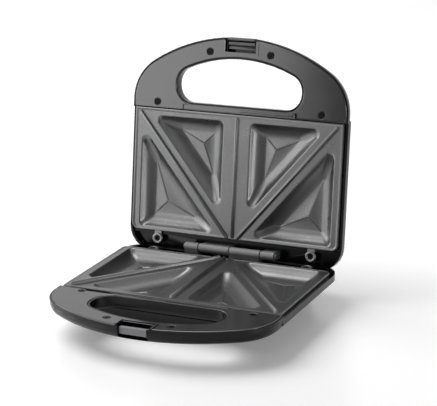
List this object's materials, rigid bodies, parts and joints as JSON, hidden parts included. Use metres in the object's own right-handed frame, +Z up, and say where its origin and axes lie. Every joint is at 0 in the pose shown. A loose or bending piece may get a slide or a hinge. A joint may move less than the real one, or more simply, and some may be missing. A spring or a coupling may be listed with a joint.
{
  "type": "sandwich toaster",
  "caption": "Countertop sandwich toaster with a hinged lid standing open, ribbed non-stick plates with triangular pockets, loop handles and a flap latch.",
  "frame": {"origin": "on the surface it stands on, under the middle of the whole toaster with its lid open", "axes": "+Z up, -Y towards the user and the handle, +X to the right along the hinge"},
  "size_m": [0.21, 0.2546, 0.2244],
  "materials": {
    "shell": "moulded black",
    "cover": "satin black",
    "plate": "dark non-stick coating",
    "screw": "blackened",
    "element": "drawn tube",
    "bright_sheet": "rolled sheet",
    "hinge_metal": "satin",
    "catch": "grey",
    "foot_rubber": "matt",
    "switch_metal": "satin",
    "block": "ceramic white",
    "lead": "silicone sleeve",
    "red_lens": "clear",
    "green_lens": "clear",
    "lamp_glass": "clear",
    "latch_metal": "satin black"
  },
  "bodies": {
    "base": {"base_shell": "shell", "base_handle_cover": "cover", "base_handle_screws": "screw", "base_plate": "plate", "base_plate_screws": "screw", "base_element": "element", "base_element_clips": "bright_sheet", "base_clip_screws": "screw", "base_reflector": "bright_sheet", "base_reflector_screws": "screw", "base_hinge_leaf": "hinge_metal", "base_hinge_screws": "screw", "hinge_pin": "hinge_metal", "catch_bar": "catch", "foot_front_left": "foot_rubber", "foot_front_right": "foot_rubber", "foot_rear_left": "foot_rubber", "foot_rear_right": "foot_rubber", "thermostat": "switch_metal", "thermal_fuse": "switch_metal", "terminal_block": "block", "base_leads": "lead"},
    "lid": {"lid_shell": "shell", "lid_handle_cover": "cover", "lid_handle_screws": "screw", "lid_plate": "plate", "lid_plate_screws": "screw", "lid_element": "element", "lid_element_clips": "bright_sheet", "lid_clip_screws": "screw", "lid_reflector": "bright_sheet", "lid_reflector_screws": "screw", "lid_hinge_leaf": "hinge_metal", "lid_hinge_screws": "screw", "latch_pin": "hinge_metal", "power_lens": "red_lens", "ready_lens": "green_lens", "power_lamp": "lamp_glass", "ready_lamp": "lamp_glass", "lamp_holder": "block", "lid_leads": "lead"},
    "latch": {"latch": "latch_metal"}
  },
  "joints": [
    {"name": "lid_hinge", "type": "hinge", "parent": "base", "child": "lid", "pos_m": [0, 0.0643, 0.036], "axis": [1, 0, 0], "range_deg": [0, 99.5]},
    {"name": "latch_hinge", "type": "hinge", "parent": "lid", "child": "latch", "pos_m": [0, 0.10394, 0.21836], "axis": [1, 0, 0], "range_deg": [0, 180]}
  ]
}
